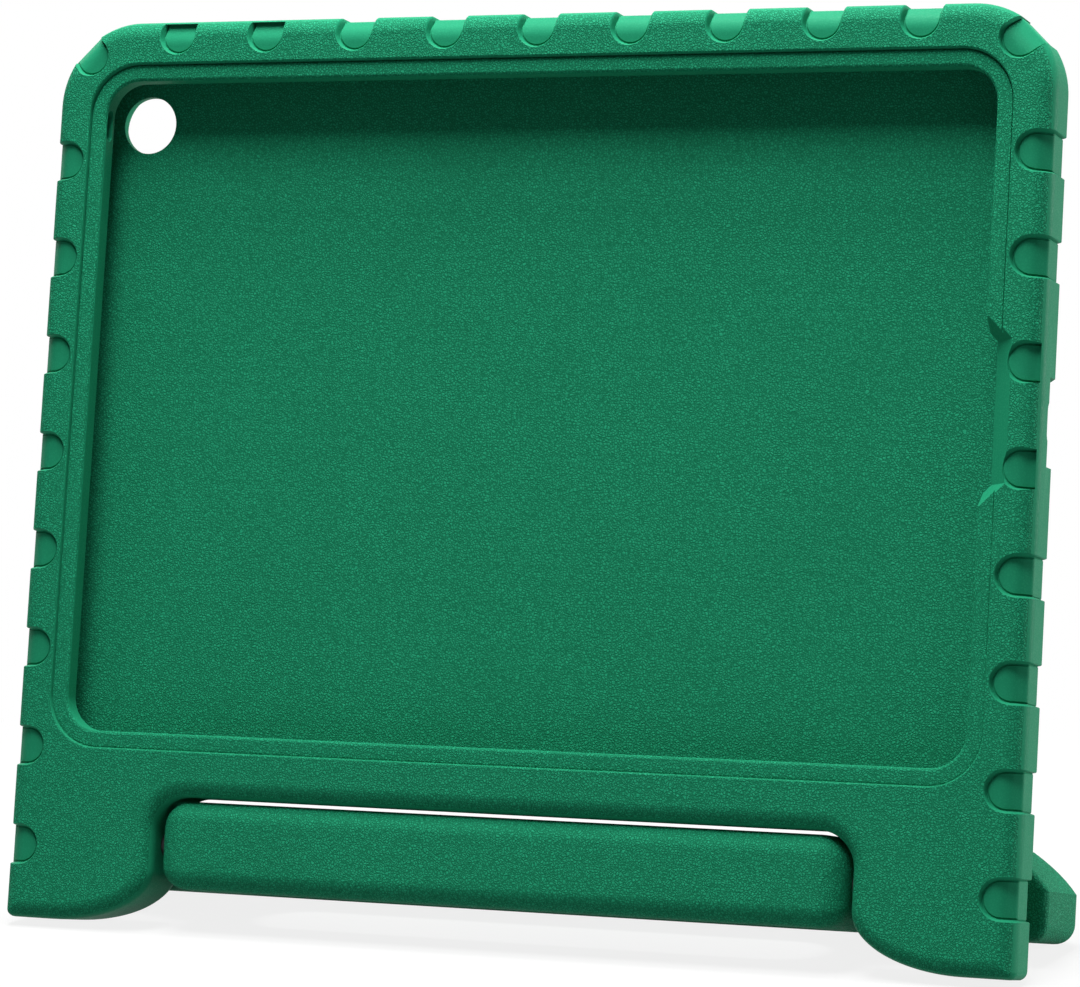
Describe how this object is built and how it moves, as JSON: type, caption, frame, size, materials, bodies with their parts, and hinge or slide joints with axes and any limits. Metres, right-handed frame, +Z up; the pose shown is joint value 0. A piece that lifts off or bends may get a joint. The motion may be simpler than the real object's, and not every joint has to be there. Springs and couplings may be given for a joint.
{
  "type": "kids tablet case with handle stand",
  "caption": "Chunky foam frame case for a tablet, with grip grooves round its edge and a carry handle that swings back as its stand.",
  "frame": {"origin": "centre of the bounding box, on the table that the case stands on", "axes": "+X to the right along the screen, +Z up, and the screen looks towards -Y and a little up"},
  "size_m": [0.2686, 0.0726, 0.232],
  "materials": {
    "foam": "green closed-cell foam with a fine leather grain",
    "pin_plastic": "plain black plastic"
  },
  "bodies": {
    "case": {"case_shell": "foam", "hinge_pin_left": "pin_plastic", "hinge_pin_right": "pin_plastic"},
    "handle": {"handle": "foam"}
  },
  "joints": [
    {"name": "handle_hinge", "type": "hinge", "parent": "case", "child": "handle", "pos_m": [0, -0.02342, 0.02125], "axis": [1, 0, 0], "range_deg": [-89, 0]}
  ]
}
